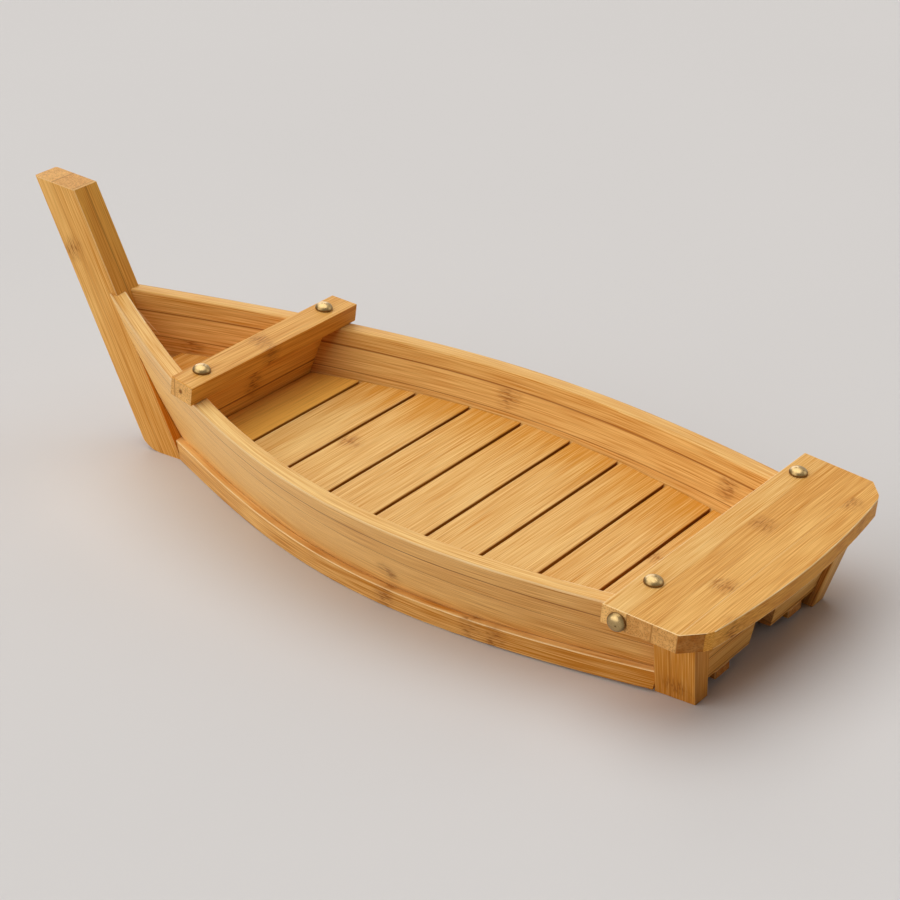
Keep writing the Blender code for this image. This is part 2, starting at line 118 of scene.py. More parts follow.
# %% The gunwale curve and the lean of the sides
SHEER_STERN = (-0.3056, 0.0834, 0.0613)
SHEER_AFT_PULL = (-0.0656, 0.1472, 0.0703)
SHEER_BOW_PULL = (0.0365, 0.1311, 0.0788)
SHEER_BOW = (0.2375, 0.0121, 0.1118)
LEAN_STERN, LEAN_MID, LEAN_BOW = 0.426, 0.564, 0.357
LEAN_MID_X, LEAN_REACH = -0.0436, 0.25
STRIP = 16.5 * MM
SAMPLES = 3001

share = np.linspace(0.0, 1.0, SAMPLES)[:, None]
sheer = (
    np.array(SHEER_STERN) * (1 - share) ** 3
    + 3 * np.array(SHEER_AFT_PULL) * share * (1 - share) ** 2
    + 3 * np.array(SHEER_BOW_PULL) * share**2 * (1 - share)
    + np.array(SHEER_BOW) * share**3
)
sheer_run = np.gradient(sheer, axis=0)
sheer_length = np.concatenate([[0.0], np.cumsum(np.linalg.norm(np.diff(sheer, axis=0), axis=1))])
outward = np.stack([-sheer_run[:, 1], sheer_run[:, 0]], axis=1)
outward /= np.linalg.norm(outward, axis=1)[:, None]
from_middle = (sheer[:, 0] - LEAN_MID_X) / LEAN_REACH
lean = np.arctan(
    LEAN_MID
    + (LEAN_BOW - LEAN_STERN) / 2 * from_middle
    + ((LEAN_BOW + LEAN_STERN) / 2 - LEAN_MID) * from_middle**2
)
print("gunwale length, mm:", round(sheer_length[-1] / MM))


# %% Fibre coordinates of a side, a rail and a straight piece
# The sides' lean changes along the boat, so depths on a rail drift; a quarter of them is kept.
RAIL_DEPTH = 0.25


def side_fibre(points):
    """Along the gunwale, down the slant and into the board, with the direction of each."""
    points = np.asarray(points)
    side = np.where(points[:, 1] < 0, -1.0, 1.0)
    flat = np.stack([points[:, 0], np.abs(points[:, 1])], axis=1)
    fibre, directions = [], []
    for (x, y), z, hand in zip(flat, points[:, 2], side):
        drop = (sheer[:, 2] - z) * np.tan(lean)
        face = sheer[:, :2] - outward * drop[:, None]
        k = int(np.argmin(((face - (x, y)) ** 2).sum(axis=1)))
        into = float((face[k] - (x, y)) @ outward[k])
        sine, cosine = math.sin(lean[k]), math.cos(lean[k])
        depth = into * cosine
        slant = (sheer[k, 2] - z + depth * sine) / cosine
        fibre.append((sheer_length[k], slant, depth))
        out_x, out_y = outward[k]
        run = sheer_run[k] / np.linalg.norm(sheer_run[k])
        directions.append(
            ((run[0], run[1] * hand, run[2]), (-out_x * sine, -out_y * sine * hand, -cosine))
        )
    return np.array(fibre), np.array(directions)


def rail_fibre(points):
    """As on a side, but a rail follows the boat's foot, so it is measured up from the floor."""
    fibre, directions = side_fibre(points)
    fibre[:, 1] = np.asarray(points)[:, 2]
    fibre[:, 2] *= RAIL_DEPTH
    directions[:, 1] = (0.0, 0.0, 1.0)
    return fibre, directions


def straight_fibre(along, across, start):
    """Plain distances from a start point, for a piece whose fibre runs along one direction."""
    along = Vector(along).normalized()
    across = Vector(across)
    across = (across - along * across.dot(along)).normalized()
    axes = np.array([along, across, along.cross(across)])

    def fibre_of(points):
        points = np.asarray(points)
        directions = np.repeat(axes[None, :2], len(points), axis=0)
        return (points - np.array(start)) @ axes.T, directions

    return fibre_of


check_point = side_fibre([sheer[SAMPLES // 2]])[0][0]
print("a gunwale point lies at slant, depth in mm:", np.round(check_point[1:] / MM, 2))

# %% [markdown]
# ## Bamboo along the fibre
#
# A bamboo strip is sawn from the wall of the culm, planed and glued to its neighbours. Along
# its length the eye sees fine darker bundles of fibre, a few longer dark lines, slow changes of
# tone, a hair of glue between strips and, where the culm had a joint, a brown mark of short
# strokes across the strip. A picture of wood could give that, but it would repeat and blur. Noise
# stretched along the fibre gives it at any size. Bundles lie about 0.7 mm apart, which is near one
# pixel here, so the finest layer swings hard to stay visible. Sanding and oil leave a satin face:
# roughness about 0.45, an index of refraction of 1.5, and a fifth of the usual specular level,
# because the open fibre scatters most of the gloss.

# %% Long-grain finish
GRAIN_LAYERS = {
    "fibre": (48 * MM, 0.68 * MM, 1.0),
    "dark_line": (50 * MM, 1.3 * MM, 1.0),
    "band": (240 * MM, 9 * MM, 2.0),
    "cloud": (110 * MM, 40 * MM, 1.0),
    "stroke": (8 * MM, 1.1 * MM, 1.5),
    "wander": (1000 * MM, 4 * MM, 1.0),
}
NOISE_ROUGHNESS = 0.6

# How far each layer moves the tone between the deep and the pale colour.
FIBRE_SWING = 1.85
BAND_SWING = 0.27
CLOUD_SWING = 0.24
STRIP_SWING = 0.12

# Where a fibre turns into a dark line, and how dark lines and glue become.
DARK_LINE = (0.56, 0.72)
LINE_SHADE = 0.19
GLUE_SHADE = 0.42
GLUE_CORE = 0.1 * MM
GLUE_FADE = 0.8 * MM

# Node marks: half sizes along, across and deep, and the shade of their parts.
NODE_MARKS = ("node_mark_1", "node_mark_2", "node_mark_3")
MARK_HALF = (11 * MM, 12 * MM, 16 * MM)
MARK_FADE = (0.2, 1.2)
MARK_WANDER = 9 * MM
MARK_LINE = 2.2 * MM
MARK_STROKE = (0.47, 0.62)
STROKE_SHADE = 0.56
STAIN_SHADE = 0.18
MARK_LINE_SHADE = 0.14

# Satin: roughness differs a little between fibre and pith, and the fibre stands proud.
GLOSS_SWING = 0.06
FIBRE_RELIEF = 0.05 * MM
RELIEF_STRENGTH = 0.35
WOOD_IOR = 1.5
WOOD_SHEEN = 0.1


def long_grain(name, pale, deep, brown, roughness, sheen=WOOD_SHEEN, piece_layer="piece"):
    material = bpy.data.materials.new(name)
    material.use_nodes = True
    tree = material.node_tree
    shader = tree.nodes["Principled BSDF"]
    grain = add(tree, "Attribute", out="Vector", attribute_name="grain")
    across = add(tree, "SeparateXYZ", {0: grain}, out=1)
    depth = add(tree, "SeparateXYZ", {0: grain}, out=2)
    piece = add(tree, "Attribute", out="Vector", attribute_name=piece_layer)
    tone = add(tree, "SeparateXYZ", {0: piece}, out=0)
    glued_across = add(tree, "SeparateXYZ", {0: piece}, out=1)
    glued_deep = add(tree, "SeparateXYZ", {0: piece}, out=2)
    noise = {}
    for layer, (run, width, detail) in GRAIN_LAYERS.items():
        squeeze = (1 / run, 1 / width, 1 / width)
        place = add(tree, "VectorMath", {0: grain, 1: squeeze}, operation="MULTIPLY")
        settings = {"Vector": place, "Scale": 1.0, "Detail": detail, "Roughness": NOISE_ROUGHNESS}
        noise[layer] = add(tree, "TexNoise", settings)

    # How pale each point is: the sum of the layers, the strip's own tone and the piece's tone.
    strip = add(tree, "Math", {0: across, 1: STRIP}, operation="DIVIDE")
    strip_number = add(tree, "Math", {0: strip}, operation="FLOOR")
    strip_tone = add(tree, "TexWhiteNoise", {"W": strip_number}, noise_dimensions="1D")
    light = add(tree, "Math", {0: tone, 1: 0.5}, operation="ADD")
    for value, swing in (
        (noise["fibre"], FIBRE_SWING),
        (noise["band"], BAND_SWING),
        (noise["cloud"], CLOUD_SWING),
        (strip_tone, STRIP_SWING),
    ):
        centred = add(tree, "Math", {0: value, 1: 0.5}, operation="SUBTRACT")
        light = add(tree, "Math", {0: centred, 1: swing, 2: light}, operation="MULTIPLY_ADD")
    wood = add(
        tree,
        "Mix",
        {"Factor": light, 6: linear(deep), 7: linear(pale)},
        out=2,
        data_type="RGBA",
    )

    # Dark fibre lines, and the hair of glue at each strip's edge and between two layers.
    faint, full = DARK_LINE
    lines = {0: noise["dark_line"], 1: faint, 2: full, 3: 0.0, 4: LINE_SHADE}
    shade = add(tree, "MapRange", lines)
    beside = add(tree, "Math", {0: across, 1: STRIP / 2}, operation="PINGPONG")
    between = add(tree, "Math", {0: depth}, operation="ABSOLUTE")
    for reach, glued in ((beside, glued_across), (between, glued_deep)):
        hair = {0: reach, 1: GLUE_CORE, 2: GLUE_FADE, 3: GLUE_SHADE, 4: 0.0}
        glue = add(tree, "MapRange", hair)
        glue = add(tree, "Math", {0: glue, 1: glued}, operation="MULTIPLY")
        shade = add(tree, "Math", {0: shade, 1: glue}, operation="MAXIMUM")

    # Node marks: a wandering brown line across the strip, in a halo of short strokes.
    wander = add(tree, "Math", {0: noise["wander"], 1: 0.5}, operation="SUBTRACT")
    faint, full = MARK_STROKE
    strokes = add(tree, "MapRange", {0: noise["stroke"], 1: faint, 2: full, 3: 0.0, 4: 1.0})
    inner, outer = MARK_FADE
    for mark in NODE_MARKS:
        offset = add(tree, "Attribute", out="Vector", attribute_name=mark)
        along = add(tree, "SeparateXYZ", {0: offset}, out=0)
        along = add(tree, "Math", {0: wander, 1: MARK_WANDER, 2: along}, operation="MULTIPLY_ADD")
        along = add(tree, "Math", {0: along}, operation="ABSOLUTE")
        line = add(tree, "MapRange", {0: along, 1: 0.0, 2: MARK_LINE, 3: 1.0, 4: 0.0})
        window = [1 / half for half in MARK_HALF]
        offset = add(tree, "VectorMath", {0: offset, 1: window}, operation="MULTIPLY")
        reach = add(tree, "VectorMath", {0: offset}, out="Value", operation="LENGTH")
        halo = add(
            tree,
            "MapRange",
            {0: reach, 1: inner, 2: outer, 3: 1.0, 4: 0.0},
            interpolation_type="SMOOTHSTEP",
        )
        mix = {0: strokes, 1: STROKE_SHADE, 2: STAIN_SHADE}
        mix = add(tree, "Math", mix, operation="MULTIPLY_ADD")
        mix = add(tree, "Math", {0: line, 1: MARK_LINE_SHADE, 2: mix}, operation="MULTIPLY_ADD")
        mix = add(tree, "Math", {0: mix, 1: halo}, operation="MULTIPLY")
        shade = add(tree, "Math", {0: shade, 1: mix}, operation="MAXIMUM")
    wood = add(
        tree,
        "Mix",
        {"Factor": shade, 6: wood, 7: linear(brown)},
        out=2,
        data_type="RGBA",
    )
    tree.links.new(wood, shader.inputs["Base Color"])

    smooth, rough = roughness - GLOSS_SWING, roughness + GLOSS_SWING
    gloss = {0: noise["fibre"], 1: 0.25, 2: 0.75, 3: smooth, 4: rough}
    tree.links.new(add(tree, "MapRange", gloss), shader.inputs["Roughness"])
    relief = {"Strength": RELIEF_STRENGTH, "Distance": FIBRE_RELIEF, "Height": noise["fibre"]}
    tree.links.new(add(tree, "Bump", relief), shader.inputs["Normal"])
    shader.inputs["IOR"].default_value = WOOD_IOR
    shader.inputs["Specular IOR Level"].default_value = sheen
    return material


# %% [markdown]
# ## Six faces of the same wood
#
# The flat face of a strip is golden. Strips cut nearer the inner wall of the culm are paler.
# Faces that lie in shade, such as the after faces and the bulkhead, take a deeper, browner
# colour: painted shade. The outside of the boat was rubbed to a polish and keeps more of the
# usual specular level, so it picks up some of the pale floor. Narrow rounded edges are paler,
# partly sanding wear and partly a painted highlight, and the slat edges over the floor gaps are
# darkened with painted shade.

# %% Long-grain finishes
POLISH_SHEEN = 0.3
# Planed, sanded and oiled flat faces: a satin gold.
bamboo = long_grain("oiled_bamboo", "#f5c272", "#c47918", "#93500e", 0.46)
# Strips from the inner wall of the culm hold more pith: paler, with the same satin.
bamboo_pale = long_grain("pale_oiled_bamboo", "#f8cf86", "#d18a2b", "#9e5a18", 0.46)
# Painted shade: a deeper, browner colour for faces that lie in shade, such as the bulkhead.
bamboo_shade_painted = long_grain("deep_painted_shade_bamboo", "#f2b24e", "#c4720e", "#884806", 0.50)
# The outside, rubbed to a polish: smoother, and with some sheen.
bamboo_polished = long_grain(
    "polished_bamboo", "#ffcf80", "#be7514", "#844406", 0.40, POLISH_SHEEN, "skin"
)
# Narrow rounded edges: pale, partly sanding wear and partly a painted highlight.
bamboo_arris_highlight = long_grain("sanded_highlit_bamboo_arris", "#ffe0a8", "#efc07a", "#b4783a", 0.40)
# Painted shade: the slat edges over the floor gaps, darkened and left rough.
bamboo_gap_shade = long_grain("gap_shade_bamboo_edge", "#cc8628", "#965608", "#683806", 0.60)
print("nodes in the long-grain finish:", len(bamboo.node_tree.nodes))

# %% [markdown]
# ## Bamboo across the fibre
#
# Where a strip is sawn off, the fibre bundles show as dots about a millimetre apart in the pith
# between them, and the cut drinks oil, so most ends are browner and duller than the long faces.
# Cells of a Voronoi pattern, each with a dot at its centre, are the plain way to draw bundles in
# section. A slow noise over them keeps the dots from looking printed. An end may also have one
# dark spot, where the saw met a joint of the culm.

# %% End-grain finish
BUNDLE_SPACING = 1.05 * MM
ALONG_BUNDLES = 0.02
DOT_SIZE = (0.15, 0.60)
DOT_SHADE = 0.42
DOT_RELIEF = 0.06 * MM
DOT_RELIEF_STRENGTH = 0.4
PITH_CLOUD = 0.30
CLOUD_SHARE = 0.70
STRIP_SHARE = 0.30
END_GLUE_CORE = 0.25 * MM
END_GLUE_FADE = 0.75 * MM
END_GLUE_SHADE = 0.5
SPOT_CORE = 1.0 * MM
SPOT_FADE = 2.2 * MM
SPOT_SHADE = 0.9


def end_grain(name, pale, deep, bundle, roughness):
    material = bpy.data.materials.new(name)
    material.use_nodes = True
    tree = material.node_tree
    shader = tree.nodes["Principled BSDF"]
    grain = add(tree, "Attribute", out="Vector", attribute_name="grain")
    tone = add(tree, "Attribute", out="Fac", attribute_name="sawn_tone")
    spread = (ALONG_BUNDLES / BUNDLE_SPACING, 1 / BUNDLE_SPACING, 1 / BUNDLE_SPACING)
    place = add(tree, "VectorMath", {0: grain, 1: spread}, operation="MULTIPLY")
    cells = add(tree, "TexVoronoi", {"Vector": place, "Scale": 1.0}, out="Distance")
    core, rim = DOT_SIZE
    dots = {0: cells, 1: core, 2: rim, 3: 1.0, 4: 0.0}
    dots = add(tree, "MapRange", dots, interpolation_type="SMOOTHSTEP")
    cloud = add(tree, "TexNoise", {"Vector": place, "Scale": PITH_CLOUD, "Detail": 3.0})
    across = add(tree, "SeparateXYZ", {0: grain}, out=1)
    strip = add(tree, "Math", {0: across, 1: STRIP}, operation="DIVIDE")
    strip = add(tree, "Math", {0: strip}, operation="FLOOR")
    strip_tone = add(tree, "TexWhiteNoise", {"W": strip}, noise_dimensions="1D")
    light = add(tree, "Math", {0: strip_tone, 1: STRIP_SHARE, 2: tone}, operation="MULTIPLY_ADD")
    light = add(tree, "Math", {0: cloud, 1: CLOUD_SHARE, 2: light}, operation="MULTIPLY_ADD")
    pith = add(
        tree,
        "Mix",
        {"Factor": light, 6: linear(deep), 7: linear(pale)},
        out=2,
        data_type="RGBA",
    )
    beside = add(tree, "Math", {0: across, 1: STRIP / 2}, operation="PINGPONG")
    shade = {0: beside, 1: END_GLUE_CORE, 2: END_GLUE_FADE, 3: END_GLUE_SHADE, 4: 0.0}
    shade = add(tree, "MapRange", shade)
    dotted = add(tree, "Math", {0: dots, 1: DOT_SHADE}, operation="MULTIPLY")
    shade = add(tree, "Math", {0: shade, 1: dotted}, operation="MAXIMUM")
    spot = add(tree, "Attribute", out="Vector", attribute_name="end_spot")
    spot = add(tree, "VectorMath", {0: spot}, out="Value", operation="LENGTH")
    spot = add(tree, "MapRange", {0: spot, 1: SPOT_CORE, 2: SPOT_FADE, 3: SPOT_SHADE, 4: 0.0})
    shade = add(tree, "Math", {0: shade, 1: spot}, operation="MAXIMUM")
    wood = add(
        tree,
        "Mix",
        {"Factor": shade, 6: pith, 7: linear(bundle)},
        out=2,
        data_type="RGBA",
    )
    tree.links.new(wood, shader.inputs["Base Color"])
    relief = {"Strength": DOT_RELIEF_STRENGTH, "Distance": DOT_RELIEF, "Height": dots}
    tree.links.new(add(tree, "Bump", relief), shader.inputs["Normal"])
    shader.inputs["Roughness"].default_value = roughness
    shader.inputs["IOR"].default_value = WOOD_IOR
    shader.inputs["Specular IOR Level"].default_value = WOOD_SHEEN
    return material


# Sawn across the fibre: open tubes that drink oil, so dull, dotted and browner.
bamboo_end = end_grain("bamboo_end_grain", "#f4be72", "#ac661e", "#7c4412", 0.55)
print("end grain dots, mm apart:", BUNDLE_SPACING / MM)

# %% [markdown]
# ## Dressing one piece
#
# Every wooden piece is dressed the same way. A copy of its solid is welded, because a packed
# model keeps each flat face apart. Joints that were glued and sanded flush are closed over the
# glue film. Square edges get the small rounding that sandpaper leaves, and a corner that was
# sanded further is trimmed by planes. Then each face is sorted: sawn ends take the end grain,
# narrow rounded edges take a paler finish, partly sanding wear and partly a painted highlight,
# and tops, strip edges and the outside may each have a finish of their own. The rest takes the
# long grain. Weighted normals keep broad faces flat while the rounded edges shade smoothly. The
# solid's own mesh is left alone, and the dressed copy stands for it.

# %% Dressing tools
WELD = 0.002 * MM
FLAT = math.radians(0.2)
FLUSH = 0.25 * MM
ARRIS_WIDTH = 0.9 * MM
SHARP = math.radians(50)
END_FACE = 0.5
TOP_FACE = 0.8
SKIN = 0.5 * MM
FAR_AWAY = 10.0
LONG, END, ARRIS, TOP, EDGE, OUTSIDE = range(6)


def welded(node, rounding, cuts, trims):
    """A welded copy of a solid, divided by cuts, trimmed by planes, its square edges rounded."""
    solid = frame["nodes"][node].data
    mesh = bpy.data.meshes.new(node + "_wood")
    faces = [tuple(polygon.vertices) for polygon in solid.polygons]
    mesh.from_pydata([vertex.co for vertex in solid.vertices], [], faces)
    work = bmesh.new()
    work.from_mesh(mesh)
    bmesh.ops.remove_doubles(work, verts=work.verts, dist=WELD)
    bmesh.ops.dissolve_limit(work, angle_limit=FLAT, verts=work.verts, edges=work.edges)
    for place, direction in cuts:
        everything = work.verts[:] + work.edges[:] + work.faces[:]
        bmesh.ops.bisect_plane(work, geom=everything, plane_co=place, plane_no=direction)
    for place, direction in trims:
        everything = work.verts[:] + work.edges[:] + work.faces[:]
        bmesh.ops.bisect_plane(
            work, geom=everything, plane_co=place, plane_no=direction, clear_outer=True
        )
        bmesh.ops.holes_fill(work, edges=[e for e in work.edges if e.is_boundary], sides=0)
    if rounding:
        square = [e for e in work.edges if e.is_manifold and e.calc_face_angle_signed(0.0) > SHARP]
        bmesh.ops.bevel(
            work,
            geom=square,
            offset=rounding,
            segments=2,
            profile=0.5,
            affect="EDGES",
            clamp_overlap=True,
        )
    work.to_mesh(mesh)
    work.free()
    return mesh


def write_points(mesh, name, kind, values):
    """Stores one value for each point of a mesh, where a shader can read it by name."""
    layer = mesh.attributes.new(name, kind, "POINT")
    key = "vector" if kind == "FLOAT_VECTOR" else "value"
    layer.data.foreach_set(key, np.asarray(values, np.float32).ravel())


def dress(
    node,
    fibre_of,
    finish,
    tone=0.0,
    sawn_tone=0.0,
    skin_tone=None,
    glued=(0.0, 0.0),
    marks=(),
    flush=(),
    rounding=0.0,
    shift=0.0,
    top_finish=None,
    edge_finish=None,
    skin_finish=None,
    arris_finish=None,
    spot=None,
    cuts=(),
    trims=(),
):
    """Dresses one wooden piece. Marks, spots and flush joints are in its fibre coordinates, and
    shift starts its pattern elsewhere, so that no two pieces are alike."""
    mesh = welded(node, rounding, cuts, trims)
    points = np.array([v.co for v in mesh.vertices])
    fibre, directions = fibre_of(points)
    for axis, joint in flush:
        gap = joint - fibre[:, axis]
        near = np.abs(gap) < FLUSH
        step = directions[:, axis] if axis < 2 else np.cross(directions[:, 0], directions[:, 1])
        points[near] += step[near] * gap[near, None]
        fibre[near, axis] = joint
    mesh.vertices.foreach_set("co", points.astype(np.float32).ravel())
    mesh.update()
    write_points(mesh, "grain", "FLOAT_VECTOR", fibre + (shift, 0.0, 0.0))
    run = fibre[:, 0]
    for layer, layer_tone in (("piece", tone), ("skin", tone if skin_tone is None else skin_tone)):
        stations = np.linspace(run.min(), run.max(), np.size(layer_tone))
        tones = np.interp(run, stations, np.atleast_1d(layer_tone))
        settings = np.column_stack([tones, np.tile(glued, (len(points), 1))])
        write_points(mesh, layer, "FLOAT_VECTOR", settings)
    write_points(mesh, "sawn_tone", "FLOAT", np.full(len(points), sawn_tone))
    spots = dict(zip(NODE_MARKS, marks)) | ({"end_spot": spot} if spot else {})
    for name in (*NODE_MARKS, "end_spot"):
        place = np.array(spots[name]) * MM if name in spots else np.full(3, FAR_AWAY)
        write_points(mesh, name, "FLOAT_VECTOR", fibre - place)

    for material in (
        finish,
        bamboo_end,
        arris_finish or bamboo_arris_highlight,
        top_finish or finish,
        edge_finish or finish,
        skin_finish or finish,
    ):
        mesh.materials.append(material)
    centres, axes = fibre_of([p.center for p in mesh.polygons])
    for polygon, (_, _, depth), (run, breadth) in zip(mesh.polygons, centres, axes):
        corners = [points[k] for k in polygon.vertices]
        longest = max(np.linalg.norm(a - b) for a, b in zip(corners, corners[1:] + corners[:1]))
        if abs(float(np.dot(polygon.normal, run))) > END_FACE:
            polygon.material_index = END
        elif polygon.area / longest < ARRIS_WIDTH:
            polygon.material_index = ARRIS
        elif polygon.normal.z > TOP_FACE:
            polygon.material_index = TOP
        elif abs(float(np.dot(polygon.normal, breadth))) > TOP_FACE:
            polygon.material_index = EDGE
        elif depth < SKIN:
            polygon.material_index = OUTSIDE
        else:
            polygon.material_index = LONG
        polygon.use_smooth = True
    mesh.set_sharp_from_angle(angle=SHARP)

    piece = bpy.data.objects.new(node + "_wood", mesh)
    bpy.context.scene.collection.objects.link(piece)
    even = piece.modifiers.new("even_faces", "WEIGHTED_NORMAL")
    even.keep_sharp = True
    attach(piece, "root")
    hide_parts(node)
    return piece


print("an edge counts as an arris under", ARRIS_WIDTH / MM, "mm")

# %% [markdown]
# ## Sides and rub rails
#
# Each side is three strips glued edge to edge, bent round the boat and sanded as one board, so
# the glue lines are closed flush and only a hair of darker glue is left. The sanded top of the
# gunwale cuts across paler fibre. The rub rail is a separate bent strip on the outside; its narrow
# ledge top lies in the shade of the flared side and takes the pale finish, a painted highlight.
# The tones of the inside and of the skin are given at four places along each strip. The skin is
# painted lighter towards the bow, where the sides turn to the light from ahead, and darker at the
# stern, most on the rub rail: painted light and shade.

# %% Dress the sides
SEAMS = ((1, STRIP), (1, 2 * STRIP))
GLUED_EDGES = (2.2, 0.0)
UNGLUED = (0.0, 0.0)
SIDE_MARKS = {
    "port_lower_board": [(247.0, 53.5, 0.0)],
    "port_rub_rail": [(253.1, 8.4, -1.8), (182.1, 9.3, -1.7), (164.8, 7.0, -2.0)],
    "starboard_side_strip": [(291.2, 21.2, 11.0), (107.9, 22.2, 11.0)],
    "starboard_lower_board": [(527.0, 34.0, 11.0)],
}
SIDE_TONES = {
    "port_gunwale_strip": (-0.05, 0.10, 0.18, -0.10),
    "starboard_gunwale_strip": (0.0, -0.10, -0.05, 0.0),
    "side_strip": (0.08, 0.10, 0.22, 0.15),
    "lower_board": (0.0, -0.10, 0.05, -0.12),
    # The rub rail's tone shows on its ledge top: a painted highlight.
    "rub_rail": 0.15,
}
# Painted light and shade on the outside: lighter towards the bow, darker at the stern and on the
# rail.
SKIN_PAINTED_LIGHT = {
    "gunwale_strip": (-0.16, 0.06, 0.28, 0.38),
    "side_strip": (-0.18, 0.04, 0.28, 0.38),
    "lower_board": (-0.24, 0.10, 0.28, 0.34),
    "rub_rail": (-0.50, -0.20, -0.10, -0.10),
}
for hand, shift in (("port", 0.0), ("starboard", 1.7)):
    for piece_name in ("gunwale_strip", "side_strip", "lower_board", "rub_rail"):
        node = f"{hand}_{piece_name}"
        rail = piece_name == "rub_rail"
        strip = piece_name in ("gunwale_strip", "side_strip")
        dress(
            node,
            rail_fibre if rail else side_fibre,
            bamboo,
            SIDE_TONES.get(node) or SIDE_TONES[piece_name],
            skin_tone=SKIN_PAINTED_LIGHT[piece_name],
            glued=GLUED_EDGES if strip else UNGLUED,
            marks=SIDE_MARKS.get(node, ()),
            flush=() if rail else SEAMS,
            shift=shift,
            # Pale tops: paler fibre on the gunwale, and a painted highlight on the rub rail's
            # shaded ledge.
            top_finish=bamboo_pale,
            skin_finish=bamboo_polished,
            arris_finish=bamboo_pale if node == "starboard_gunwale_strip" else None,
        )

# %% [markdown]
# ## Floor
#
# The slats lie across the boat, so their fibre runs from side to side. Each comes from another
# culm, so its tone differs a little from its neighbours, and its pattern starts elsewhere. They
# grow more golden towards the starboard end, so each is cut into five lengths that carry the
# change of tone. The slat beside the bulkhead lies in its shade; it takes the deep painted-shade
# colour at a high tone, painted light that lifts that shade. The edges that face each other over
# the gaps are darkened with painted shade.

# %% Dress the floor
ACROSS_BOAT = (0.0, 1.0, 0.0)
AHEAD = (1.0, 0.0, 0.0)
# Slat 1 lies in the bulkhead's shade: its high tone is painted light, its finish painted shade.
SLAT_TONES = (0.56, 0.06, 0.0, 0.0, 0.01, 0.0, 0.04, -0.08, 0.02, 0.0)
SLAT_PARTS = np.linspace(0.0, 1.0, 6)
SLAT_CHANGE = (-0.42, -0.22, -0.04, 0.0, 0.02, 0.02)
SLAT_SHIFT = 0.9
# The bearers show only in shade under the stern; their darker tones are painted shade.
BEARER_PAINTED_SHADE, BEARER_SAWN_PAINTED_SHADE = -0.15, -0.30
SLAT_MARKS = {"floor_slat_9": [(-6.1, 33.6, -11.0)], "floor_slat_3": [(9.6, 29.7, -10.6)]}
for k, tone in enumerate(SLAT_TONES):
    node = f"floor_slat_{k + 1}"
    low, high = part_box(node)
    slat_fibre = straight_fibre(ACROSS_BOAT, AHEAD, (low.x, 0.0, low.z))
    marks = SLAT_MARKS.get(node, ())
    finish = bamboo_pale if k else bamboo_shade_painted
    cuts = [((0.0, low.y + (high.y - low.y) * part, 0.0), ACROSS_BOAT) for part in SLAT_PARTS[1:-1]]
    dress(
        node,
        slat_fibre,
        finish,
        tuple(tone + change for change in SLAT_CHANGE),
        marks=marks,
        shift=SLAT_SHIFT * k,
        # The edges over the gaps are darkened: painted shade in the gaps.
        edge_finish=bamboo_gap_shade,
        arris_finish=finish,
        cuts=cuts,
    )
low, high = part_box("bow_floor")
bow_fibre = straight_fibre(ACROSS_BOAT, AHEAD, (low.x, 0.0, low.z))
# The bow floor sits in shade in the bow well; its darker tone is painted shade.
dress("bow_floor", bow_fibre, bamboo, -0.22, rounding=0.4 * MM)
for hand in ("port", "starboard"):
    node = f"{hand}_floor_bearer"
    low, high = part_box(node)
    bearer_fibre = straight_fibre(AHEAD, ACROSS_BOAT, (low.x, low.y, low.z))
    dress(
        node,
        bearer_fibre,
        bamboo,
        BEARER_PAINTED_SHADE,
        BEARER_SAWN_PAINTED_SHADE,
        rounding=0.5 * MM,
    )
print("slats dressed:", len(SLAT_TONES))

# %% [markdown]
# ## Stem
#
# The stem is two layers glued face to face and rounded as one. Its fibre follows the rake, each
# layer is two strips wide, and its sawn top shows pale end grain. Its front edges were sanded
# round, which a few planes that touch the rounding give well enough at this size.

# %% Dress the stem
RAKE = (0.4918, 0.0, 1.0)
STEM_TOE_X = 0.2128
STEM_FRONT_STRIP = 14.4 * MM
STEM_LAYER = 11.1 * MM
FRONT_ROUND = 2.5 * MM
ROUND_TURNS = (22.5, 45.0, 67.5)
GLUED_ALL = (0.7, 1.3)
start = Vector((STEM_TOE_X, 0.0, 0.0))
square_aft = Vector((-1.0, 0.0, RAKE[0])).normalized()
stem_start = start - square_aft * (STRIP - STEM_FRONT_STRIP)
stem_fibre = straight_fibre(RAKE, square_aft, stem_start)
for layer, hand, tone, marks, shift in (
    ("port", 1.0, (-0.10, 0.16), [(148.5, 11.0, -11.1)], 0.0),
    ("starboard", -1.0, (0.10, 0.30), (), 1.1),
):
    outer = Vector((0.0, hand, 0.0))
    centre = start + square_aft * FRONT_ROUND + outer * (STEM_LAYER - FRONT_ROUND)
    trims = []
    for turn in ROUND_TURNS:
        turn = math.radians(turn)
        direction = outer * math.sin(turn) - square_aft * math.cos(turn)
        trims.append((centre + direction * FRONT_ROUND, direction))
    dress(
        f"stem_{layer}_layer",
        stem_fibre,
        bamboo,
        tone,
        sawn_tone=0.18,
        glued=GLUED_ALL,
        marks=marks,
        flush=((2, 0.0),),
        shift=shift,
        # The stem's after face takes the deep finish: painted shade.
        edge_finish=bamboo_shade_painted,
        trims=trims,
    )

# %% [markdown]
# ## Thwart and stern deck
#
# Both run from side to side. The deck was glued from four strips and sanded flat, so its joints
# are closed and only the tones tell the strips apart. The front strip is the palest. The clipped
# after corners of the deck were softened by sanding, so the angle where each clip meets the after
# edge is planed off by a millimetre.

